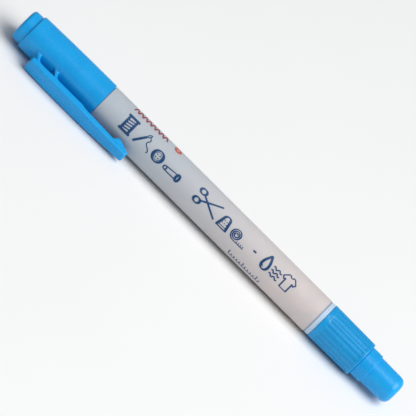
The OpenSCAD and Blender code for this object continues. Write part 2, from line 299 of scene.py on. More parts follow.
def linear(hex_colour):
    """An sRGB hex colour as linear red, green, blue and full alpha."""
    parts = [int(hex_colour[i : i + 2], 16) / 255 for i in (1, 3, 5)]
    return [*(p / 12.92 if p <= 0.04045 else ((p + 0.055) / 1.055) ** 2.4 for p in parts), 1.0]


def add(tree, kind, output, inputs=None, **settings):
    """Adds a node with its settings and gives the output of that name or identifier. An input is
    a hex colour, another value, or another node's output to link."""
    node = tree.nodes.new(kind)
    for key, value in settings.items():
        setattr(node, key, value)
    for key, value in (inputs or {}).items():
        socket = next(s for s in node.inputs if key in (s.identifier, s.name))
        if isinstance(value, bpy.types.NodeSocket):
            tree.links.new(value, socket)
        else:
            socket.default_value = linear(value) if isinstance(value, str) else value
    return next(s for s in node.outputs if output in (s.identifier, s.name))


def material(name, constants):
    """A material with constants on its shader: (material, tree, shader, object coordinates)."""
    made = bpy.data.materials.new(name)
    made.use_nodes = True
    tree = made.node_tree
    shader = tree.nodes["Principled BSDF"]
    for key, value in constants.items():
        shader.inputs[key].default_value = value
    return made, tree, shader, add(tree, "ShaderNodeTexCoord", "Object")


def patches(tree, where, size_mm, first, second, most=1.0, detail=2.0, used=NOISE_MIDDLE):
    """A colour that wanders from first to second in patches about size_mm across. The range of
    the noise that is used becomes the share of the second colour, from 0 to most."""
    inputs = {"Vector": where, "Scale": 1 / (size_mm * MM), "Detail": detail}
    cloud = add(tree, "ShaderNodeTexNoise", "Fac", inputs)
    inputs = {"Value": cloud, "To Max": most, **used}
    share = add(tree, "ShaderNodeMapRange", "Result", inputs)
    inputs = {"Factor_Float": share, "A_Color": first, "B_Color": second}
    return add(tree, "ShaderNodeMix", "Result_Color", inputs, data_type="RGBA")


def along_pen(tree, where, begin_x, end_x, first, second, change="LINEAR"):
    """A colour that changes from first to second between two stations in mm."""
    station = add(tree, "ShaderNodeSeparateXYZ", "X", {"Vector": where})
    inputs = {"Value": station, "From Min": begin_x * MM, "From Max": end_x * MM}
    share = add(tree, "ShaderNodeMapRange", "Result", inputs, interpolation_type=change)
    inputs = {"Factor_Float": share, "A_Color": first, "B_Color": second}
    return add(tree, "ShaderNodeMix", "Result_Color", inputs, data_type="RGBA")


def grain(tree, shader, where, size_mm, detail, relief_mm=0.0, roughness=None):
    """Grain about size_mm across, which lifts the surface by up to relief_mm and moves the
    roughness between two values."""
    inputs = {"Vector": where, "Scale": 1 / (size_mm * MM), "Detail": detail}
    height = add(tree, "ShaderNodeTexNoise", "Fac", inputs)
    if roughness:
        inputs = {"Value": height, "To Min": roughness[0], "To Max": roughness[1], **NOISE_MIDDLE}
        rough = add(tree, "ShaderNodeMapRange", "Result", inputs)
        tree.links.new(rough, shader.inputs["Roughness"])
    if relief_mm:
        inputs = {"Height": height, "Distance": relief_mm * MM}
        tree.links.new(add(tree, "ShaderNodeBump", "Normal", inputs), shader.inputs["Normal"])


print("mid grey in linear light:", round(linear("#808080")[0], 3))

# %% [markdown]
# ### The blue plastic
#
# The caps, the clip and the ribbed section are injection-moulded polypropylene. It is coloured
# all through and a little waxy, so light goes slightly into it, and its surface is satin: the
# mould is spark-eroded, which leaves a fine even grain that softens every highlight. The grooves
# of the grip get painted shade: they are drawn darker from the depth that the mesh itself stores
# on each point.

# %% Moulded polypropylene
POLYPROPYLENE_IOR = 1.49
SPARK_GRAIN = 0.35  # the real grain is a tenth of this and wouldn't show


def moulded_polypropylene(name, light, deep, groove=None):
    """Blue polypropylene: two close blues in slow clouds, with a fine moulded grain. Given a groove
    colour, it paints shade into the grooves by the depth that is stored on the mesh.
    """
    constants = {
        "IOR": POLYPROPYLENE_IOR,
        "Specular IOR Level": 0.35,
        "Subsurface Weight": 0.2,
        "Subsurface Radius": (0.15, 0.6, 1.0),
        "Subsurface Scale": 0.4 * MM,
    }
    made, tree, shader, where = material(name, constants)
    colour = patches(tree, where, 7.0, light, deep)
    # Painted shade: the deeper a point lies in a groove, the more its colour turns to the groove colour.
    if groove:
        depth = add(tree, "ShaderNodeAttribute", "Fac", attribute_name="groove")
        inputs = {"Factor_Float": depth, "A_Color": colour, "B_Color": groove}
        colour = add(tree, "ShaderNodeMix", "Result_Color", inputs, data_type="RGBA")
    tree.links.new(colour, shader.inputs["Base Color"])
    grain(tree, shader, where, SPARK_GRAIN, 3.0, 0.012, (0.24, 0.32))
    return made


CAP_BLUE = "#17A4E7"
CAP_DEEP = "#129DE0"
GRIP_BLUE = "#159CDA"
GRIP_DEEP = "#1095D3"
# painted shade for the grooves of the grip
GROOVE_SHADE_BLUE = "#0F8ECB"
cap_plastic = moulded_polypropylene("moulded polypropylene, cap blue", CAP_BLUE, CAP_DEEP)
grip_plastic = moulded_polypropylene(
    "moulded polypropylene, ribbed grip", GRIP_BLUE, GRIP_DEEP, GROOVE_SHADE_BLUE
)
print("blue:", [round(c, 3) for c in linear(CAP_BLUE)[:3]])

# %% [markdown]
# ### The milky barrel
#
# The barrel is natural polypropylene with no pigment. It is extruded, so it has faint lines that
# run along it. Its wall scatters light, and its tint changes along the pen: cooler towards the
# broad nib's end, warmer towards the other end. Near the grip, painted shade darkens the turned
# line and painted light makes the rim a paler blue.

# %% Natural polypropylene
COOL_X, WARM_X = -30, 34
DRAW_LINES = 0.25  # coarser than real ones, so that they show
CAP_END_TINT = "#B2BCC5"
TAIL_END_TINT = "#D2C9C7"
CLOUD_TINT = "#BDBCC0"
# The next two are painted: shade at the turned line, light at the rim.
TURNED_LINE_SHADE = "#9FA3B4"
RIM_LIGHT_TINT = "#BDD4EA"


def natural_polypropylene():
    """Milky tube: a tint that changes along the pen, light scatter and faint draw lines, with painted
    shade at the turned line and a paler blue at the rim that is painted light.
    """
    constants = {
        "IOR": POLYPROPYLENE_IOR,
        "Specular IOR Level": 0.3,
        "Subsurface Weight": 0.35,
        "Subsurface Radius": (1.0, 0.9, 0.85),
        "Subsurface Scale": 1.2 * MM,
    }
    made, tree, shader, where = material("extruded natural polypropylene", constants)
    tint = along_pen(tree, where, COOL_X, WARM_X, CAP_END_TINT, TAIL_END_TINT, "SMOOTHSTEP")
    tint = patches(tree, where, 5.0, tint, CLOUD_TINT, 0.35)
    # Painted shade and light: a darker band where the turned line sinks in, then a paler blue at the rim,
    # painted light for the light that shines through its clearer plastic and the blue that the grip casts
    # on it.
    for colour, begin_x in ((TURNED_LINE_SHADE, rim_x - 0.5), (RIM_LIGHT_TINT, rim_x)):
        tint = along_pen(tree, where, begin_x, begin_x + 0.3, tint, colour)
    tree.links.new(tint, shader.inputs["Base Color"])
    drawn = add(tree, "ShaderNodeMapping", "Vector", {"Vector": where, "Scale": (0.04, 1.0, 1.0)})
    grain(tree, shader, drawn, DRAW_LINES, 3.0, 0.006, (0.4, 0.52))
    return made


barrel_plastic = natural_polypropylene()
print("barrel tints:", CAP_END_TINT, TAIL_END_TINT)

# %% [markdown]
# ### Print, nibs, liners and metal
#
# The marks on the barrel are screen-printed ink: opaque, slightly glossy, a few hundredths of a
# millimetre thick and a little uneven. The nibs are bonded polyester fibre, white where dry and
# blue where ink has wicked in. The inner cap and the liner are soft polyethylene. The fine nib
# sits in a drawn steel tube.

# %% Print and inner materials
STRAND_TINT = "#8FA3B8"
STRANDS = 0.12  # a real fibre is a sixth of this and wouldn't show
STEEL_LINES = 0.06  # coarser than real ones, too


def screen_ink(name, colour, thin_colour):
    """Printed ink: its colour thins out in small patches where the screen left less."""
    made, tree, shader, where = material(name, {"Roughness": 0.35})
    tint = patches(tree, where, 0.5, colour, thin_colour, 0.6, 4.0)
    tree.links.new(tint, shader.inputs["Base Color"])
    return made


def fibre(name, dry, inked, wet_x, dry_x):
    """Bonded fibre: fine strands along the pen, tinted by ink between two stations in mm."""
    made, tree, shader, where = material(name, {"Roughness": 0.85})
    drawn = add(tree, "ShaderNodeMapping", "Vector", {"Vector": where, "Scale": (0.08, 1.0, 1.0)})
    tint = along_pen(tree, where, wet_x, dry_x, inked, dry)
    tint = patches(tree, drawn, STRANDS, tint, STRAND_TINT, 0.25, 4.0)
    tree.links.new(tint, shader.inputs["Base Color"])
    grain(tree, shader, drawn, STRANDS, 4.0, 0.03)
    return made


def soft_polyethylene():
    """Waxy white liner plastic with a faint cloud in it."""
    constants = {"Roughness": 0.42, "Subsurface Weight": 0.2, "Subsurface Scale": 1.0 * MM}
    made, tree, shader, where = material("moulded polyethylene", constants)
    tint = patches(tree, where, 2.5, "#E9ECEC", "#DDE3E6")
    tree.links.new(tint, shader.inputs["Base Color"])
    grain(tree, shader, where, 0.4, 2.0, 0.01)
    return made


def drawn_steel():
    """Steel tube with drawing lines along it, which stretch its highlights round the tube."""
    made, tree, shader, where = material("drawn stainless steel", {"Metallic": 1.0})
    drawn = add(tree, "ShaderNodeMapping", "Vector", {"Vector": where, "Scale": (0.03, 1.0, 1.0)})
    tint = patches(tree, drawn, STEEL_LINES, "#B9BDC1", "#D2D5D8", 1.0, 3.0, NOISE_WHOLE)
    tree.links.new(tint, shader.inputs["Base Color"])
    grain(tree, shader, drawn, STEEL_LINES, 3.0, roughness=(0.22, 0.36))
    return made


def wrapping_film():
    """Clear film round the fibre bundle, faintly crinkled."""
    made, tree, shader, where = material("clear wrapping film", {"Roughness": 0.18, "Alpha": 0.45})
    tint = patches(tree, where, 1.5, "#E6EEF3", "#D5E2EA", 1.0, 3.0, NOISE_WHOLE)
    tree.links.new(tint, shader.inputs["Base Color"])
    grain(tree, shader, where, 1.5, 3.0, 0.05)
    return made


blue_ink = screen_ink("screen-printed ink, navy", "#0B3A66", "#1C5288")
red_ink = screen_ink("screen-printed ink, red", "#953648", "#AA5262")
orange_ink = screen_ink("screen-printed ink, orange", "#BC5340", "#C8705C")
polyethylene = soft_polyethylene()
steel = drawn_steel()
film = wrapping_film()
print(len(bpy.data.materials), "materials so far")

# %% [markdown]
# ### Floor and light
#
# A product table is a sheet of pale card under one large soft light. The light hangs high, towards
# the nose of the pen, so the upper side of every round piece is the bright one and the side near
# the table falls gently into shade. A pale world fills the shadows.

# %% Floor, world and lights
FLOOR_SIZE = 6.0
floor_mesh = bpy.data.meshes.new("floor")
floor_points = np.array([[-1, -1, 0], [1, -1, 0], [1, 1, 0], [-1, 1, 0]]) * FLOOR_SIZE / 2
floor_mesh.from_pydata(floor_points.tolist(), [], [(0, 1, 2, 3)])
floor = bpy.data.objects.new("floor", floor_mesh)
bpy.context.scene.collection.objects.link(floor)
constants = {"Roughness": 0.9, "Specular IOR Level": 0.1}
card, tree, shader, where = material("matt pale card", constants)
tint = patches(tree, where, 60.0, "#EFEFEF", "#F2F2F2", used=NOISE_WHOLE)
tree.links.new(tint, shader.inputs["Base Color"])
floor_mesh.materials.append(card)

world = bpy.data.worlds.new("studio")
world.use_nodes = True
WORLD_LIGHT = 0.28
background = world.node_tree.nodes["Background"].inputs
background["Color"].default_value = (0.97, 0.985, 1.0, 1.0)
background["Strength"].default_value = WORLD_LIGHT
bpy.context.scene.world = world

KEY_SIZE, KEY_WATTS = 1.5, 31.0
light = bpy.data.lights.new("key", "AREA")
light.size = KEY_SIZE
light.energy = KEY_WATTS
key = bpy.data.objects.new("key", light)
key_place = Vector((0.84, -0.36, 1.30))
facing = (target - key_place).to_track_quat("-Z", "Y").to_matrix().to_4x4()
key.matrix_world = Matrix.Translation(key_place) @ facing
bpy.context.scene.collection.objects.link(key)

# %% [markdown]
# ## The round pieces
#
# Each of these is an outline carried round the axis. The stations and radii come from the
# corners of the CAD piece, and each corner gets the rounding that a mould gives it.

# %% Finishing a piece


def finish_piece(piece, body, look, node):
    """Gives a piece its finish, lets it ride on a body and stand for its CAD node."""
    piece.data.materials.append(look)
    if body:
        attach(piece, body)
    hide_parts(node)
    return piece


def turned(name, node, body, look, slot, corners, around=160, dip=None, **spacing):
    """A finished piece from outline corners that are carried round the axis."""
    piece = solid(name, [revolve(outline(corners, **spacing), around, dip)])
    return finish_piece(piece, body, look, node)


# %% [markdown]
# ### Barrel
#
# The milky tube is the pen's body. Its neck, under the cap, carries two sealing rings. At the
# other end a thin rim meets the ribbed section past a fine turned line.

# %% Barrel
bore_r = inner("barrel", neck_x)
neck_r = outer("barrel", neck_full_x)
relief_r = inner("barrel", ring_end_x)
barrel_r = outer("barrel", line_x)
rim_r = outer("barrel", grip_x)
line_r = inner("barrel", line_x)
barrel_corners = [
    (neck_x, bore_r, 0.1),
    (neck_x, neck_r, 0.25),
    (ring_end_x, neck_r, 0.1),
    (ring_end_x, relief_r, 0.1),
    (ring_start_x, relief_r, 0.1),
    (ring_start_x, neck_r, 0.1),
    (shoulder_x, neck_r, 0.05),
    (shoulder_x, barrel_r, 0.3),
    (line_x, barrel_r, 0.08),
    (line_x, line_r, 0.05),
    (rim_x, line_r, 0.05),
    (rim_x, rim_r, 0.08),
    (grip_x, rim_r, 0.1),
    (grip_x, bore_r, 0.05),
]
turned("barrel_tube", "barrel", "pen", barrel_plastic, "milky_barrel", barrel_corners, step=2.0)

# %% [markdown]
# ### Printed marks
#
# A screen print on a tube is a film of ink a few hundredths of a millimetre thick. Decals or an
# image texture could show it, but strokes of real ink also catch the light at their edges and
# stay sharp in any close view. So each stroke is a thin closed band that is bent round the
# barrel. It is drawn on a flat sheet first, where x runs along the pen and y round it, up from a
# baseline. The stroke is broad where it runs across the pen and fine where it runs along it, as
# a broad pen writes.
#
# The marks are plain pictures of sewing things, with a small ruler below and red stitches above.

# %% Ink strokes
FINE, BROAD = 0.17, 0.38
STROKE_STEP = 0.09
INK_SUNK, INK_PROUD = 0.02, 0.03
BASELINE = math.radians(168.8)


def wrap(sheet, lift):
    """Sheet points (x, y) bent round the barrel: y is an arc, so it turns the point by y / r
    from the baseline, and lift is the height over the surface."""
    angle = BASELINE - sheet[:, 1] / barrel_r
    radius = barrel_r + lift
    x = shoulder_x + sheet[:, 0]
    return np.stack([x, AXIS_Y + radius * np.cos(angle), AXIS_Z + radius * np.sin(angle)], -1)


def stroke(points, fine=FINE, broad=BROAD):
    """One stroke along a row of points, as its two sides and whether its ends meet. Its half
    width is fine + (broad - fine) |direction across|, and a free end is a half circle."""
    points = np.array(points, float)
    closed = np.allclose(points[0], points[-1])
    run = np.concatenate([[0], np.cumsum(np.linalg.norm(np.diff(points, axis=0), axis=1))])
    at = np.linspace(0, run[-1], max(8, round(run[-1] / STROKE_STEP)) + 1)
    line = np.stack([np.interp(at, run, points[:, k]) for k in (0, 1)], -1)
    if closed:
        line = line[:-1]
        way = np.roll(line, -1, axis=0) - np.roll(line, 1, axis=0)
    else:
        way = np.gradient(line, axis=0)
    way = way / np.linalg.norm(way, axis=1)[:, None]
    half = fine + (broad - fine) * np.abs(way[:, 1])
    if not closed:
        to_end = np.minimum(at, run[-1] - at)
        half = half * np.sqrt(np.clip(1 - np.clip(1 - to_end / half, 0, 1) ** 2, 0.01, 1))
    aside = np.stack([-way[:, 1], way[:, 0]], -1) * half[:, None]
    return line - aside, line + aside, closed


def ink_band(sides, shift):
    """The closed surface of a stroke: a ring of four points at each step along it."""
    left, right, closed = sides
    corners = ((left, -INK_SUNK), (left, INK_PROUD), (right, INK_PROUD), (right, -INK_SUNK))
    ring = np.stack([wrap(side + shift, lift) for side, lift in corners], 1)
    if closed:
        return ring.reshape(-1, 3), grid_faces(len(ring), 4, True), NO_TRIANGLES
    return capped(ring, ring[0].mean(axis=0), ring[-1].mean(axis=0))


def arc(x, y, wide, high, start=0, end=360):
    """Part of an ellipse round (x, y) with the half axes wide and high, between two angles."""
    t = np.radians(np.linspace(start, end, 61))
    return np.stack([x + wide * np.cos(t), y + high * np.sin(t)], -1)


def dot(x, y, r):
    """A round dot: a stroke as long as it is wide."""
    return stroke([(x - r, y), (x + r, y)], r, r)


print("a stroke of 5 mm has", len(stroke([(0, 0), (0, 5)])[0]), "steps")

# %% Sewing things, each drawn from its lower left corner


def spool():
    """Two flanges, the reel between them and four slanted turns of thread."""
    flanges = [stroke([(0.2, y), (4.2, y)], BROAD) for y in (0.28, 4.67)]
    sides = [stroke([(x, 0.4), (x, 4.55)]) for x in (0.95, 3.45)]
    turns = [stroke([(1.0, y), (3.4, y + 0.5)], 0.13) for y in (0.95, 1.75, 2.55, 3.35)]
    return flanges + sides + turns


def needle():
    """A slanted needle with a long eye, and a thread that winds down from it."""
    tilt = math.radians(56)
    ring = arc(0, 0, 0.75, 0.27)
    tilted = [ring @ (math.cos(tilt), -math.sin(tilt)), ring @ (math.sin(tilt), math.cos(tilt))]
    eye = np.stack(tilted, -1) + (2.95, 4.12)
    t = np.linspace(0, 1, 60)
    thread = np.stack([3.1 + 1.9 * t + 0.5 * np.sin(3 * math.pi * t), 4.2 - 4.1 * t], -1)
    return [stroke([(0.2, 0.1), (2.55, 3.55)]), stroke(eye, 0.1, 0.16), stroke(thread, 0.1, 0.15)]


def button():
    """Rim, hollow and four holes."""
    holes = [dot(1.85 + a * 0.42, 1.85 + b * 0.42, 0.2) for a in (-1, 1) for b in (-1, 1)]
    return [stroke(arc(1.85, 1.85, 1.6, 1.6), 0.18), stroke(arc(1.85, 1.85, 1.1, 1.1), 0.07, 0.09), *holes]


def safety_pin():
    """Coil, two wires and the guard that holds the point."""
    return [
        stroke(arc(0.75, 0.95, 0.5, 0.5), 0.14, 0.2),
        stroke([(0.75, 0.42), (5.0, 0.42)], 0.16),
        stroke([(0.75, 1.5), (5.0, 1.9)], 0.12),
        stroke(arc(5.1, 1.15, 0.5, 1.0), 0.16),
    ]


def scissors():
    """Two blades that cross at a screw, and two finger rings."""
    blades = [stroke([(1.8, a), (7.9, b)], 0.2, 0.3) for a, b in ((1.4, 4.6), (3.45, 0.3))]
    rings = [stroke(arc(1.1, y, 1.0, 0.78)) for y in (0.98, 3.9)]
    return [*blades, *rings, dot(3.9, 2.45, 0.32)]


def thimble():
    """A domed cup with a rim and two rows of dimples."""
    dome = arc(1.8, 2.8, 1.0, 0.95, 180, 0)
    cup = [(0.25, 0.2), (0.8, 2.8), *dome, (3.35, 0.2), (0.25, 0.2)]
    dimples = [dot(x, y, 0.16) for y, row in ((1.65, (1.1, 1.8, 2.5)), (2.4, (1.45, 2.15))) for x in row]
    return [stroke(cup), stroke([(0.45, 0.8), (3.15, 0.8)], 0.09), *dimples]


def tape():
    """A rolled tape: the radius grows by the same step each turn, and the end lies out flat."""
    t = np.linspace(0, 2.75, 120)
    r = 0.3 + 0.5 * t
    roll = np.stack([1.8 + r * np.cos(2 * math.pi * t), 1.85 + r * np.sin(2 * math.pi * t)], -1)
    ticks = [stroke([(x, 0.35), (x, 0.85)], 0.08, 0.1) for x in (3.1, 3.8, 4.5, 5.2)]
    return [stroke(np.concatenate([roll, [(5.6, 0.18)]]), 0.13, 0.2), *ticks]


def drop():
    """A drop of water: x = sin t sin(t/2) to the power 1.3, y = cos t."""
    t = np.linspace(0, 2 * math.pi, 81)
    edge = np.stack([1.6 + 1.5 * np.sin(t) * np.sin(t / 2) ** 1.3, 2.45 + 2.25 * np.cos(t)], -1)
    edge[-1] = edge[0]
    return [stroke(edge), stroke(arc(1.6, 1.55, 0.75, 0.75, 190, 262), 0.09, 0.12)]


def waves():
    """Three ripples."""
    x = np.linspace(0, 3, 50)
    return [stroke(np.stack([x, y + 0.28 * np.sin(4.2 * x)], -1), 0.17, 0.2) for y in (0.5, 1.6, 2.7)]


def shirt():
    """A shirt laid flat, with a round neck."""
    left = np.array([(1.0, 0.2), (1.0, 2.9), (0.55, 2.45), (0.0, 3.2), (1.2, 4.5), (1.6, 4.5)])
    neck = arc(2.15, 4.5, 0.5, 0.45, 180, 360)
    right_side = left[::-1] * (-1, 1) + (4.3, 0)
    return [stroke(np.concatenate([left, neck, right_side, left[:1]]), 0.13, 0.2)]


def ruler():
    """Eleven millimetres, with every fifth tick longer."""
    ticks = [stroke([(k, 0), (k, 1.6 if k % 5 == 0 else 0.9)], 0.13, 0.15) for k in range(12)]
    return [stroke([(-0.1, 0), (11.1, 0)], 0.1), *ticks]


def stitches():
    """A row of zigzag stitches."""
    corners = [(0.75 * k, 2.1 * (k % 2)) for k in range(17)]
    return [stroke(corners, 0.2, 0.24)]


def bead():
    """A ring with a dot in it."""
    return [stroke(arc(1, 1.1, 0.85, 0.95), 0.22), dot(1, 1.1, 0.3)]


# %% Printing the marks on the barrel


def print_marks(name, ink, *placed):
    """One piece for one ink, from the (x, y, strokes) of each mark."""
    bands = [ink_band(sides, np.array([x, y])) for x, y, strokes in placed for sides in strokes]
    piece = solid(name, bands)
    piece.data.polygons.foreach_set("use_smooth", np.zeros(len(piece.data.polygons), bool))
    piece.data.materials.append(ink)
    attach(piece, "pen")


print_marks(
    "printed_sewing_marks",
    blue_ink,
    (7.2, 0, spool()),
    (12.5, 0, needle()),
    (18.7, 0, button()),
    (23.1, 0.2, safety_pin()),
    (34.6, 0, scissors()),
    (43.5, 0, thimble()),
    (47.9, 0, tape()),
    (55.65, 2.1, [stroke([(0, 0), (1.1, 0)], 0.24)]),
    (58.9, 0, drop()),
    (62.5, 0.2, waves()),
    (65.9, 0, shirt()),
)
print_marks("printed_ruler", blue_ink, (51.3, -4.1, ruler()))
print_marks("printed_stitches", red_ink, (7.6, 6.95, stitches()))
print_marks("printed_bead", orange_ink, (22.3, 6.85, bead()))

# %% [markdown]
# ### Main cap and its plug
#
# The cap is moulded over a core, so it is a touch thinner at its closed end: its outline swells
# in a shallow curve, r = end + swell (1 - (1 - s) squared), with s from 0 to 1 along it. The core
# leaves a hole at the closed end, which a round-edged plug fills. The small dimple in the plug is
# where the plastic entered the mould.

# %% Main cap
cap_stations = stations("cap_shell")
cap_x, mouth_x = cap_stations[0], cap_stations[-1]
cap_r = outer("cap_shell", mouth_x)
cap_bore_r = inner("cap_shell", mouth_x)
stem_hole_r = inner("cap_shell", cap_x)
bores = rings("cap_shell")
bores = bores[(bores[:, 1] < cap_bore_r + TOUCH) & (bores[:, 0] < mouth_x - 1)]
seat_end_x = bores[:, 0].max()
seat_r = inner("cap_shell", seat_end_x)
CAP_EDGE = 0.4
CAP_SWELL = cap_r - outer("cap_shell", cap_stations[1])
CAP_END_WALL = 1.8


def cap_radius(x):
    """Outside radius of the cap at a station, by the shallow curve of the mould."""
    s = np.clip((x - cap_x) / (mouth_x - cap_x), 0, 1)
    return cap_r - CAP_SWELL * (1 - s) ** 2


swell = [(x, float(cap_radius(x)), 0.0) for x in np.linspace(cap_x, mouth_x, 24)[1:-1]]
cap_corners = [
    (cap_x, stem_hole_r, 0.1),
    (cap_x, float(cap_radius(cap_x)), CAP_EDGE),
    *swell,
    (mouth_x, cap_r, 0.15),
    (mouth_x, cap_bore_r, 0.15),
    (seat_end_x, cap_bore_r, 0.1),
    (seat_end_x, seat_r, 0.1),
    (cap_x + CAP_END_WALL, seat_r, 0.3),
    (cap_x + CAP_END_WALL, stem_hole_r, 0.1),
]
print("cap wall:", round(cap_r - cap_bore_r, 2), "mm at the mouth, inner step at", round(seat_end_x, 2))
turned("main_cap", "cap_shell", "cap", cap_plastic, "blue_plastic", cap_corners)

# %% End plug
plug_x, plug_end_x = stations("cap_end_plug")[[0, -1]]
plug_r = outer("cap_end_plug", cap_x)
stem_r = inner("cap_end_plug", cap_x)
PLUG_ROUND = 1.0
GATE_R, GATE_DEPTH = 0.8, 0.15
plug_corners = [
    (plug_x + GATE_DEPTH, 0, 0),
    (plug_x + GATE_DEPTH, GATE_R - 0.2, 0.1),
    (plug_x, GATE_R, 0.1),
    (plug_x, plug_r, PLUG_ROUND),
    (cap_x, plug_r, 0.05),
    (cap_x, stem_r, 0.05),
    (plug_end_x, stem_r, 0.3),
    (plug_end_x, 0, 0),
]
turned("cap_plug", "cap_end_plug", "cap", cap_plastic, "blue_plastic", plug_corners)

# %% [markdown]
# ### Ribbed grip section
#
# The section plugs the barrel's end and holds the fine nib. Its band is ribbed so that fingers
# hold it while they pull the nose cap. The mould's polish rounds both edges of each groove: at a
# sideways distance s from its middle the groove is D cos(pi s / 2 w) squared deep, out to the half
# width w, and its ends rise smoothly. The mesh stores that depth, and the finish paints shade with it.

# %% Ribbed section
section_stations = stations("fine_section")
nose_stations = stations("fine_cap_shell")
spigot_x, nozzle_tip_x = section_stations[[0, -1]]
nose_x, pen_end_x = nose_stations[[0, -1]]
band_end_x = section_stations[section_stations < nose_x][-1]
land_end_x = section_stations[section_stations > nose_x][1]
section_floor_x = stations("fine_nib_sleeve")[0]
spigot_in_r = inner("fine_section", spigot_x)
spigot_r = inner("fine_section", grip_x)
grip_r = rings("fine_section")[:, 1].max()
land_r = inner("fine_section", band_end_x)
nozzle_r = inner("fine_section", land_end_x)
nozzle_tip_r = outer("fine_section", nozzle_tip_x)
sleeve_bore_r = inner("fine_section", nozzle_tip_x)
GRIP_TAPER = 0.15
RIBS = 24
GROOVE_HALF, GROOVE_DEPTH = 0.6, 0.14
SMOOTH_START, SMOOTH_END = 1.4, 0.8
GROOVE_RISE = 0.5


def groove_depth(x, r, angle):
    """How deep the grooves cut at a point: D cos(pi s / 2 w) squared, times a smooth rise from 0
    to 1 over GROOVE_RISE at both ends. Only the outside of the band is cut."""
    pitch = 2 * math.pi / RIBS
    aside = np.abs((angle + pitch / 2) % pitch - pitch / 2) * r
    cut = GROOVE_DEPTH * np.cos(np.pi / 2 * np.clip(aside / GROOVE_HALF, 0, 1)) ** 2
    into = np.minimum(x - grip_x - SMOOTH_START, band_end_x - SMOOTH_END - x) / GROOVE_RISE
    rise = np.clip(into, 0, 1)
    return cut * rise * rise * (3 - 2 * rise) * (r > grip_r - 2 * GRIP_TAPER)


section_corners = [
    (spigot_x, spigot_in_r, 0.1),
    (spigot_x, spigot_r, 0.4),
    (grip_x, spigot_r, 0.05),
    (grip_x, grip_r, 0.25),
    (band_end_x, grip_r - GRIP_TAPER, 0.35),
    (band_end_x, land_r, 0.1),
    (land_end_x, land_r, 0.3),
    (land_end_x, nozzle_r, 0.2),
    (nozzle_tip_x, nozzle_tip_r, 0.25),
    (nozzle_tip_x, sleeve_bore_r, 0.05),
    (section_floor_x, sleeve_bore_r, 0.05),
    (section_floor_x, spigot_in_r, 0.1),
]
section = turned(
    "ribbed_section",
    "fine_section",
    "pen",
    grip_plastic,
    "blue_plastic",
    section_corners,
    around=12 * RIBS,
    dip=groove_depth,
    step=0.3,
)

# Each point's depth in a groove, stored for the grip material to paint shade with.
x, y, z = mesh_points(section).T
away, angle = np.hypot(y - AXIS_Y, z - AXIS_Z), np.arctan2(z - AXIS_Z, y - AXIS_Y)
uncut = grip_r - GRIP_TAPER * (x - grip_x) / (band_end_x - grip_x)
shade = groove_depth(x, uncut, angle) / GROOVE_DEPTH * (away > land_r + 0.5)
groove = section.data.attributes.new("groove", "FLOAT", "POINT")
groove.data.foreach_set("value", shade.astype(np.float32))
print("ribs:", RIBS, "pitch", round(2 * math.pi * grip_r / RIBS, 2), "mm")

# %% [markdown]
# ### Nose cap
#
# The small cap over the fine nib has a lip band that a fingernail finds, a slight draft so that
# it leaves its mould, and a well-rounded end that catches one curved highlight. The seam between
# it and the grip is a hair wide.

# %% Nose cap
lip_r = outer("fine_cap_shell", nose_stations[1])
lip_end_x = nose_stations[2]
nose_r = outer("fine_cap_shell", nose_stations[3])
nose_bore_r = inner("fine_cap_shell", nose_x)
nose_bore_end_x = stations("fine_cap_liner")[-1]
SEAM = 0.08
NOSE_ROUND = 2.2
NOSE_TAPER = 0.1
nose_corners = [
    (nose_bore_end_x, 0, 0),
    (nose_bore_end_x, nose_bore_r, 0.2),
    (band_end_x + SEAM, nose_bore_r, 0.05),
    (band_end_x + SEAM, lip_r, 0.12),
    (lip_end_x, lip_r, 0.15),
    (lip_end_x + 0.1, nose_r, 0.1),
    (pen_end_x, nose_r - NOSE_TAPER, NOSE_ROUND),
    (pen_end_x, 0, 0),
]
turned("nose_cap", "fine_cap_shell", "fine_cap", cap_plastic, "blue_plastic", nose_corners)

# %% [markdown]
# ### What the caps hide
#
# Under the main cap is the holder of the broad nib: a cone, a smooth land that the inner cap
# seals on, and a flange that rests on the barrel. Both nibs are ground from bonded fibre rod, the
# broad one to a bullet and the fine one to a ball. Soft cups inside both caps keep them wet.

# %% Broad nib and its holder
holder_x, holder_end_x = stations("main_section")[[0, -1]]
FLANGE = 1.0
LAND = 3.5
flange_x = neck_x - FLANGE
holder_r = outer("main_section", holder_x)
holder_land_r = inner("main_section", flange_x)
flange_r = outer("main_section", neck_x)
nib_hole_r = inner("main_section", holder_x)
reservoir_x = stations("ink_reservoir")[0]
holder_corners = [
    (holder_x, nib_hole_r, 0.05),
    (holder_x, holder_r, 0.3),
    (flange_x - LAND, holder_land_r - 0.5, 0.2),
    (flange_x - LAND + 0.5, holder_land_r, 0.3),
    (flange_x, holder_land_r, 0.15),
    (flange_x, flange_r, 0.15),
    (neck_x, flange_r, 0.15),
    (neck_x, spigot_r, 0.05),
    (holder_end_x, spigot_r, 0.4),
    (holder_end_x, spigot_in_r, 0.1),
    (reservoir_x, spigot_in_r, 0.1),
    (reservoir_x, nib_hole_r, 0.05),
]
turned("broad_nib_holder", "main_section", "pen", cap_plastic, "blue_plastic", holder_corners)

nib_tip_x, nib_end_x = stations("main_nib")[[0, -1]]
nib_r = outer("main_nib", nib_end_x)
BULLET = 1.2
quarter = np.linspace(0, math.pi / 2, 14)
bullet = [(nib_tip_x + BULLET * (1 - math.cos(a)), nib_r * math.sin(a), 0.0) for a in quarter]
nib_corners = [*bullet, (nib_end_x, nib_r, 0.1), (nib_end_x, 0, 0)]
wet_fibre = fibre("bonded polyester fibre, broad nib", "#DDE4EA", "#3F78B8", holder_x, nib_tip_x)
turned("broad_nib", "main_nib", "pen", wet_fibre, "nib_fibre", nib_corners, 64)

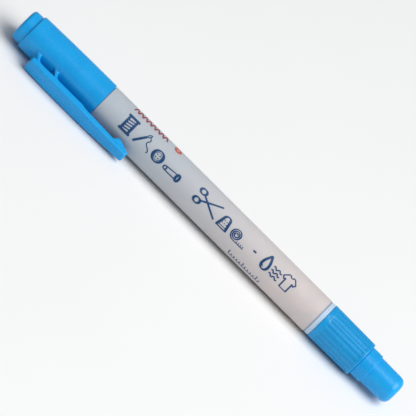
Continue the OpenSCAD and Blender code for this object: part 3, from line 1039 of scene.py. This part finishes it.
# %% Fine nib and its steel sleeve
sleeve_tip_x = stations("fine_nib_sleeve")[-1]
sleeve_r = outer("fine_nib_sleeve", section_floor_x)
sleeve_tip_r = outer("fine_nib_sleeve", sleeve_tip_x)
sleeve_in_r = inner("fine_nib_sleeve", section_floor_x)
point_hole_r = inner("fine_nib_sleeve", sleeve_tip_x)
sleeve_corners = [
    (section_floor_x, sleeve_in_r, 0.05),
    (section_floor_x, sleeve_r, 0.1),
    (nozzle_tip_x, sleeve_r, 0.2),
    (sleeve_tip_x, sleeve_tip_r, 0.12),
    (sleeve_tip_x, point_hole_r, 0.04),
    (nozzle_tip_x, point_hole_r, 0.04),
    (nozzle_tip_x, sleeve_in_r, 0.04),
]
turned(
    "fine_nib_sleeve_tube", "fine_nib_sleeve", "pen", steel, "steel_tube", sleeve_corners, 80, hold=0.02
)

shank_x, point_x = stations("fine_nib")[[0, -1]]
shank_r = outer("fine_nib", shank_x)
point_r = point_hole_r - 0.02
ball = [(point_x - point_r * (1 - math.cos(a)), point_r * math.sin(a), 0.0) for a in quarter]
point_corners = [
    *ball,
    (nozzle_tip_x, point_r, 0.03),
    (nozzle_tip_x, shank_r, 0.05),
    (shank_x, shank_r, 0.1),
    (shank_x, 0, 0),
]
fine_fibre = fibre("bonded polyester fibre, fine nib", "#DDE4EA", "#3F78B8", sleeve_tip_x, point_x)
turned("fine_nib_rod", "fine_nib", "pen", fine_fibre, "nib_fibre", point_corners, 48, hold=0.02)

# %% Soft cups inside the caps
cup_x, cup_mouth_x = stations("inner_cap")[[0, -1]]
cup_r = outer("inner_cap", cup_mouth_x)
cup_bore_r = inner("inner_cap", cup_mouth_x)
CUP_FLOOR = 0.9
cup_corners = [
    (cup_x, 0, 0),
    (cup_x, cup_r, 0.4),
    (cup_mouth_x, cup_r, 0.1),
    (cup_mouth_x, cup_bore_r, 0.25),
    (cup_x + CUP_FLOOR, cup_bore_r, 0.5),
    (cup_x + CUP_FLOOR, 0, 0),
]
turned("inner_cap_cup", "inner_cap", "cap", polyethylene, "white_liner", cup_corners)

liner_x = stations("fine_cap_liner")[0]
liner_r = outer("fine_cap_liner", liner_x)
liner_bore_r = inner("fine_cap_liner", liner_x)
LINER_FLOOR = 0.6
liner_corners = [
    (nose_bore_end_x, 0, 0),
    (nose_bore_end_x, liner_r, 0.4),
    (liner_x, liner_r, 0.1),
    (liner_x, liner_bore_r, 0.25),
    (nose_bore_end_x - LINER_FLOOR, liner_bore_r, 0.3),
    (nose_bore_end_x - LINER_FLOOR, 0, 0),
]
turned("nose_cap_liner", "fine_cap_liner", "fine_cap", polyethylene, "white_liner", liner_corners)

# %% [markdown]
# The ink reservoir and its film are already the right shape, so the CAD pieces stay and only get
# their finishes. The reservoir is a bundle of fibre that the blue ink has soaked.

# %% Ink reservoir and film
soaked = fibre("ink-soaked fibre bundle", "#2F66A8", "#1E4F93", reservoir_x, -reservoir_x)
for node, look in (("ink_reservoir", soaked), ("reservoir_film", film)):
    mesh = frame["nodes"][node].data
    mesh.materials.clear()
    mesh.materials.append(look)
print("reservoir runs from", round(reservoir_x, 2), "mm")

# %% [markdown]
# ## The clip
#
# On the real cap the clip, its two webs and the shell are one moulding, and the clip bends where
# it leaves the second web. The CAD model splits it there. Here it is one bar again, and the ends
# of a short stretch round the clip's hinge, where it would bend, are worked out.
#
# The bar lies in its own directions: along the pen, outwards from the axis, and sideways.

# %% Clip directions and sizes
hinge = next(j for j in frame["joints"] if j["name"] == "clip_flex")
SIDEWAYS = -np.array(hinge["axis"])
OUTWARDS = np.cross([1.0, 0.0, 0.0], SIDEWAYS)
flex_x = hinge["pos_m"][0] / MM
AXIS = np.array([0.0, AXIS_Y, AXIS_Z])


def clip_sizes(node):
    """Station and distance outwards of every corner of a clip node."""
    points = mesh_points(frame["nodes"][node]) - AXIS
    return points[:, 0], points @ OUTWARDS


def place(x, out, side):
    """Points from stations and distances outwards and sideways."""
    x, out, side = np.broadcast_arrays(x, out, side)
    return AXIS + x[..., None] * [1, 0, 0] + out[..., None] * OUTWARDS + side[..., None] * SIDEWAYS


root = clip_sizes("clip_root")
arm = clip_sizes("clip_arm")
clip_x, clip_tip_x = root[0].min(), arm[0].max()
clip_out = max(root[1].max(), arm[1].max())
clip_length = clip_tip_x - clip_x
CLIP_THICK = 2.15
clip_in = clip_out - CLIP_THICK
ROOT_DROP, TIP_DROP = 0.35, 0.175
HALF_WIDTHS = (2.35, 2.55, 1.65)
INNER_STEP = 0.3
BUMP, BUMP_FROM_TIP = 1.15, 4.2
THIN_SHARE = 0.515
thin_x = clip_x + THIN_SHARE * clip_length
bump_x = clip_tip_x - BUMP_FROM_TIP
print("clip from", round(clip_x, 2), "to", round(clip_tip_x, 2), "hinge at", round(flex_x, 2))

# %% [markdown]
# The bar's section is a rectangle with rounded corners, and its width, its inner face and its
# outer face change along it. Each face is a row of straight stretches, as the mould maker drew
# it, and a running average over a short length softens the corners between them.

# %% Clip bar
CLIP_ROWS = 220
CORNER = 0.62
END_ROUND = 0.6
SOFTEN = 0.35


def along_clip(*corners):
    """A value at each clip row: straight stretches between (station, value) corners, averaged
    over SOFTEN to both sides."""
    at, value = np.array(corners).T
    shifts = np.linspace(-SOFTEN, SOFTEN, 9)
    return np.mean([np.interp(clip_rows + shift, at, value) for shift in shifts], axis=0)


def rounded_ring(half_a, half_b, corner, per_corner=7, per_side=5):
    """A rectangle with rounded corners, as (a, b) around it for each row of sizes. Point k of a
    corner is its centre plus corner * (cos, sin) of the angle, and sides are straight between."""
    quarter = np.linspace(0, math.pi / 2, per_corner)
    rings = []
    for k, (sign_a, sign_b) in enumerate(((1, 1), (-1, 1), (-1, -1), (1, -1))):
        angle = quarter + k * math.pi / 2
        a = sign_a * (half_a - corner)[:, None] + corner[:, None] * np.cos(angle)
        b = sign_b * (half_b - corner)[:, None] + corner[:, None] * np.sin(angle)
        rings.append(np.stack([a, b], -1))
    full = []
    share = np.linspace(0, 1, per_side + 2)[1:-1][None, :, None]
    for ring, following in zip(rings, rings[1:] + rings[:1]):
        full += [ring, ring[:, -1:] + (following[:, :1] - ring[:, -1:]) * share]
    return np.concatenate(full, axis=1)


clip_rows = np.linspace(clip_x, clip_tip_x, CLIP_ROWS)
low_end = clip_x + END_ROUND * (1 - np.cos(np.linspace(0, math.pi / 2, 9)[:-1]))
clip_rows = clip_rows[(clip_rows > clip_x + END_ROUND) & (clip_rows < clip_tip_x - END_ROUND)]
clip_rows = np.concatenate([low_end, clip_rows, (clip_x + clip_tip_x) - low_end[::-1]])
inner_face = along_clip(
    (thin_x, clip_in),
    (thin_x + 0.8, clip_in + INNER_STEP),
    (bump_x - 1.2, clip_in + INNER_STEP),
    (bump_x - 0.4, clip_in - BUMP),
    (bump_x + 0.3, clip_in - BUMP),
    (clip_tip_x, clip_in + INNER_STEP),
)
outer_face = along_clip(
    (clip_x, clip_out - ROOT_DROP),
    (clip_x + 5, clip_out - ROOT_DROP / 3),
    (clip_x + 11, clip_out),
    (clip_x + clip_length / 2 + 4, clip_out),
    (clip_tip_x, clip_out - TIP_DROP),
)
half_width = along_clip(
    (clip_x, HALF_WIDTHS[0]),
    (clip_x + 8, HALF_WIDTHS[1]),
    (thin_x, HALF_WIDTHS[1]),
    (clip_tip_x, HALF_WIDTHS[2]),
)
from_end = np.minimum(clip_rows - clip_x, clip_tip_x - clip_rows)
tuck = END_ROUND - np.sqrt(np.clip(END_ROUND**2 - np.clip(END_ROUND - from_end, 0, None) ** 2, 0, None))
half_out = (outer_face - inner_face) / 2 - tuck
ring = rounded_ring(half_out, half_width - tuck, np.minimum(CORNER, half_out * 0.7))
middle = (outer_face + inner_face) / 2
grid = place(clip_rows[:, None], middle[:, None] + ring[..., 0], ring[..., 1])
poles = [place(clip_rows[k], middle[k], 0.0) for k in (0, -1)]
clip = solid("pocket_clip", [capped(grid, *poles)])
finish_piece(clip, None, cap_plastic, "clip_arm")
FLEX_BEFORE, FLEX_AFTER = 1.2, 3.0
bend_from = place(flex_x - FLEX_BEFORE, clip_in, 0.0) * MM
bend_to = place(flex_x + FLEX_AFTER, clip_in, 0.0) * MM
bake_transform(clip)

# %% [markdown]
# The two webs are slanted walls between the cap and the clip. A mould leaves a fillet where a
# wall meets a face, so each web flares at its foot and at its top: the flare at a distance d from
# the face is F exp(-d / L), with F and L the fillet's size. The foot follows the cap's own curve.

# %% Webs
WEB_HALF_WIDTH = 2.0
WEB_HALF_THICK = 0.575
WEB_CORNER = 0.3
WEB_LEAN = 1.0
WEB_PITCH = 6.4
WEB_START = 0.15
FILLET = 0.35
SINK = 0.3


def web(start_x):
    """One slanted web as a closed surface. Row s goes from the foot, sunk in the cap, to the top,
    sunk in the clip, and the section leans along the pen in proportion to s."""
    s = np.linspace(0, 1, 25)
    sizes = [np.full(len(s), size) for size in (WEB_HALF_THICK, WEB_HALF_WIDTH, WEB_CORNER)]
    ring = rounded_ring(*sizes)
    foot_r = cap_radius(start_x)
    foot = np.sqrt(foot_r**2 - ring[..., 1] ** 2) - SINK
    top = clip_in + SINK
    out = foot + (top - foot) * s[:, None]
    near = np.minimum(np.abs(out - foot - SINK), np.abs(top - SINK - out))
    flare = 1 + FILLET * np.exp(-near / (FILLET / 2)) / WEB_HALF_THICK
    lean = WEB_LEAN * (out - foot_r) / (clip_in - foot_r)
    x = start_x + WEB_HALF_THICK + lean + ring[..., 0] * flare
    side = ring[..., 1] * (1 + (flare - 1) * WEB_HALF_THICK / WEB_HALF_WIDTH)
    grid = place(x, out, side)
    poles = [grid[k].mean(axis=0) for k in (0, -1)]
    return capped(grid, *poles)


webs = solid("clip_webs", [web(clip_x + WEB_START), web(clip_x + WEB_START + WEB_PITCH)])
finish_piece(webs, "cap", cap_plastic, "clip_root")
